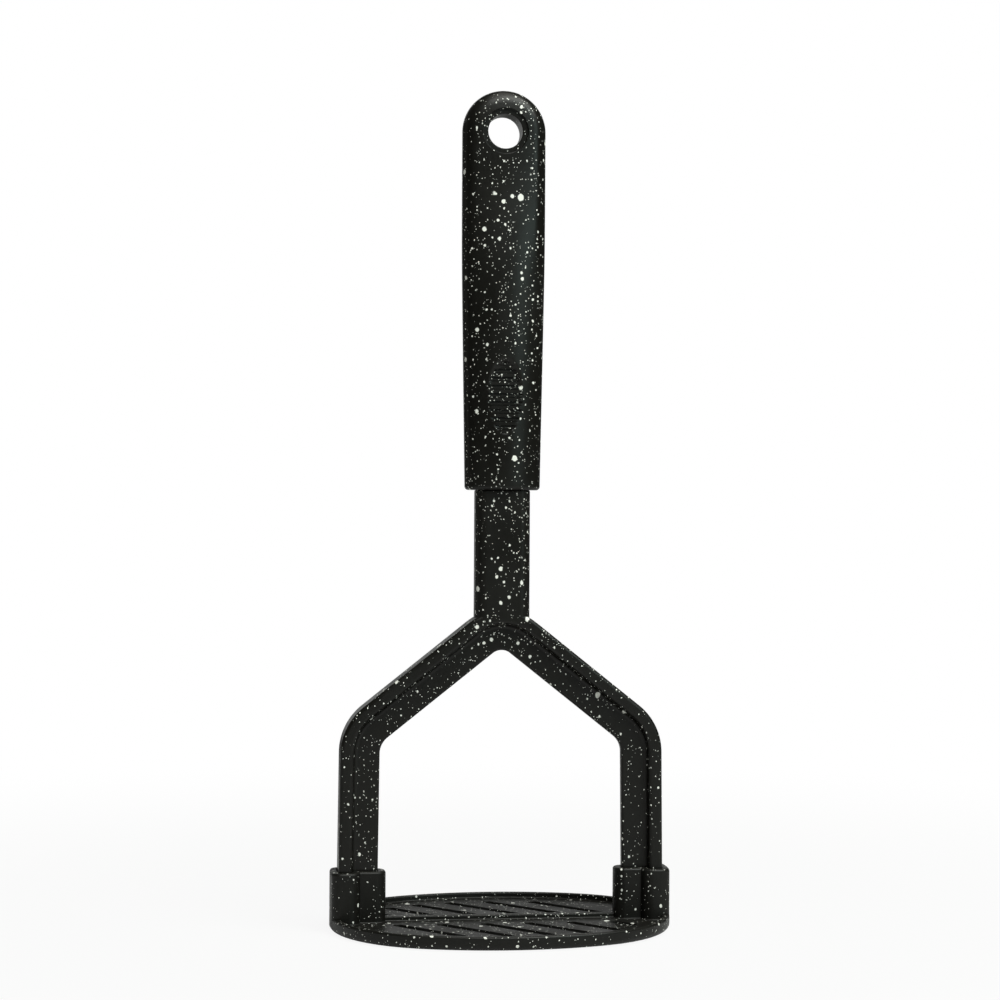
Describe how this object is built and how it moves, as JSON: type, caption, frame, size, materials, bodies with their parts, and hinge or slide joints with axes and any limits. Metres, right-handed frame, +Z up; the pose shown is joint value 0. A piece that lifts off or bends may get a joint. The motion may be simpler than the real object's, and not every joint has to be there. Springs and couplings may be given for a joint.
{
  "type": "potato masher",
  "caption": "Hand potato masher: slotted oval plate with two sockets, a forked yoke rising to a stem, and a hollow grip with a hanging hole and a ribbed thumb pad.",
  "frame": {"origin": "middle of the mashing plate's flat underside, on the surface the masher stands on", "axes": "+Z up the stem and handle, +X through both sockets of the plate, +Y away from the side that carries the thumb pad"},
  "size_m": [0.1106, 0.084, 0.2715],
  "materials": {
    "head_nylon": "matt black moulded nylon with fine off-white flecks",
    "yoke_nylon": "matt black moulded nylon with off-white flecks",
    "grip_nylon": "matt black moulded nylon with denser off-white flecks and a soft sheen"
  },
  "bodies": {
    "root": {"mashing_plate": "head_nylon", "yoke": "yoke_nylon", "handle": "grip_nylon"}
  },
  "joints": []
}
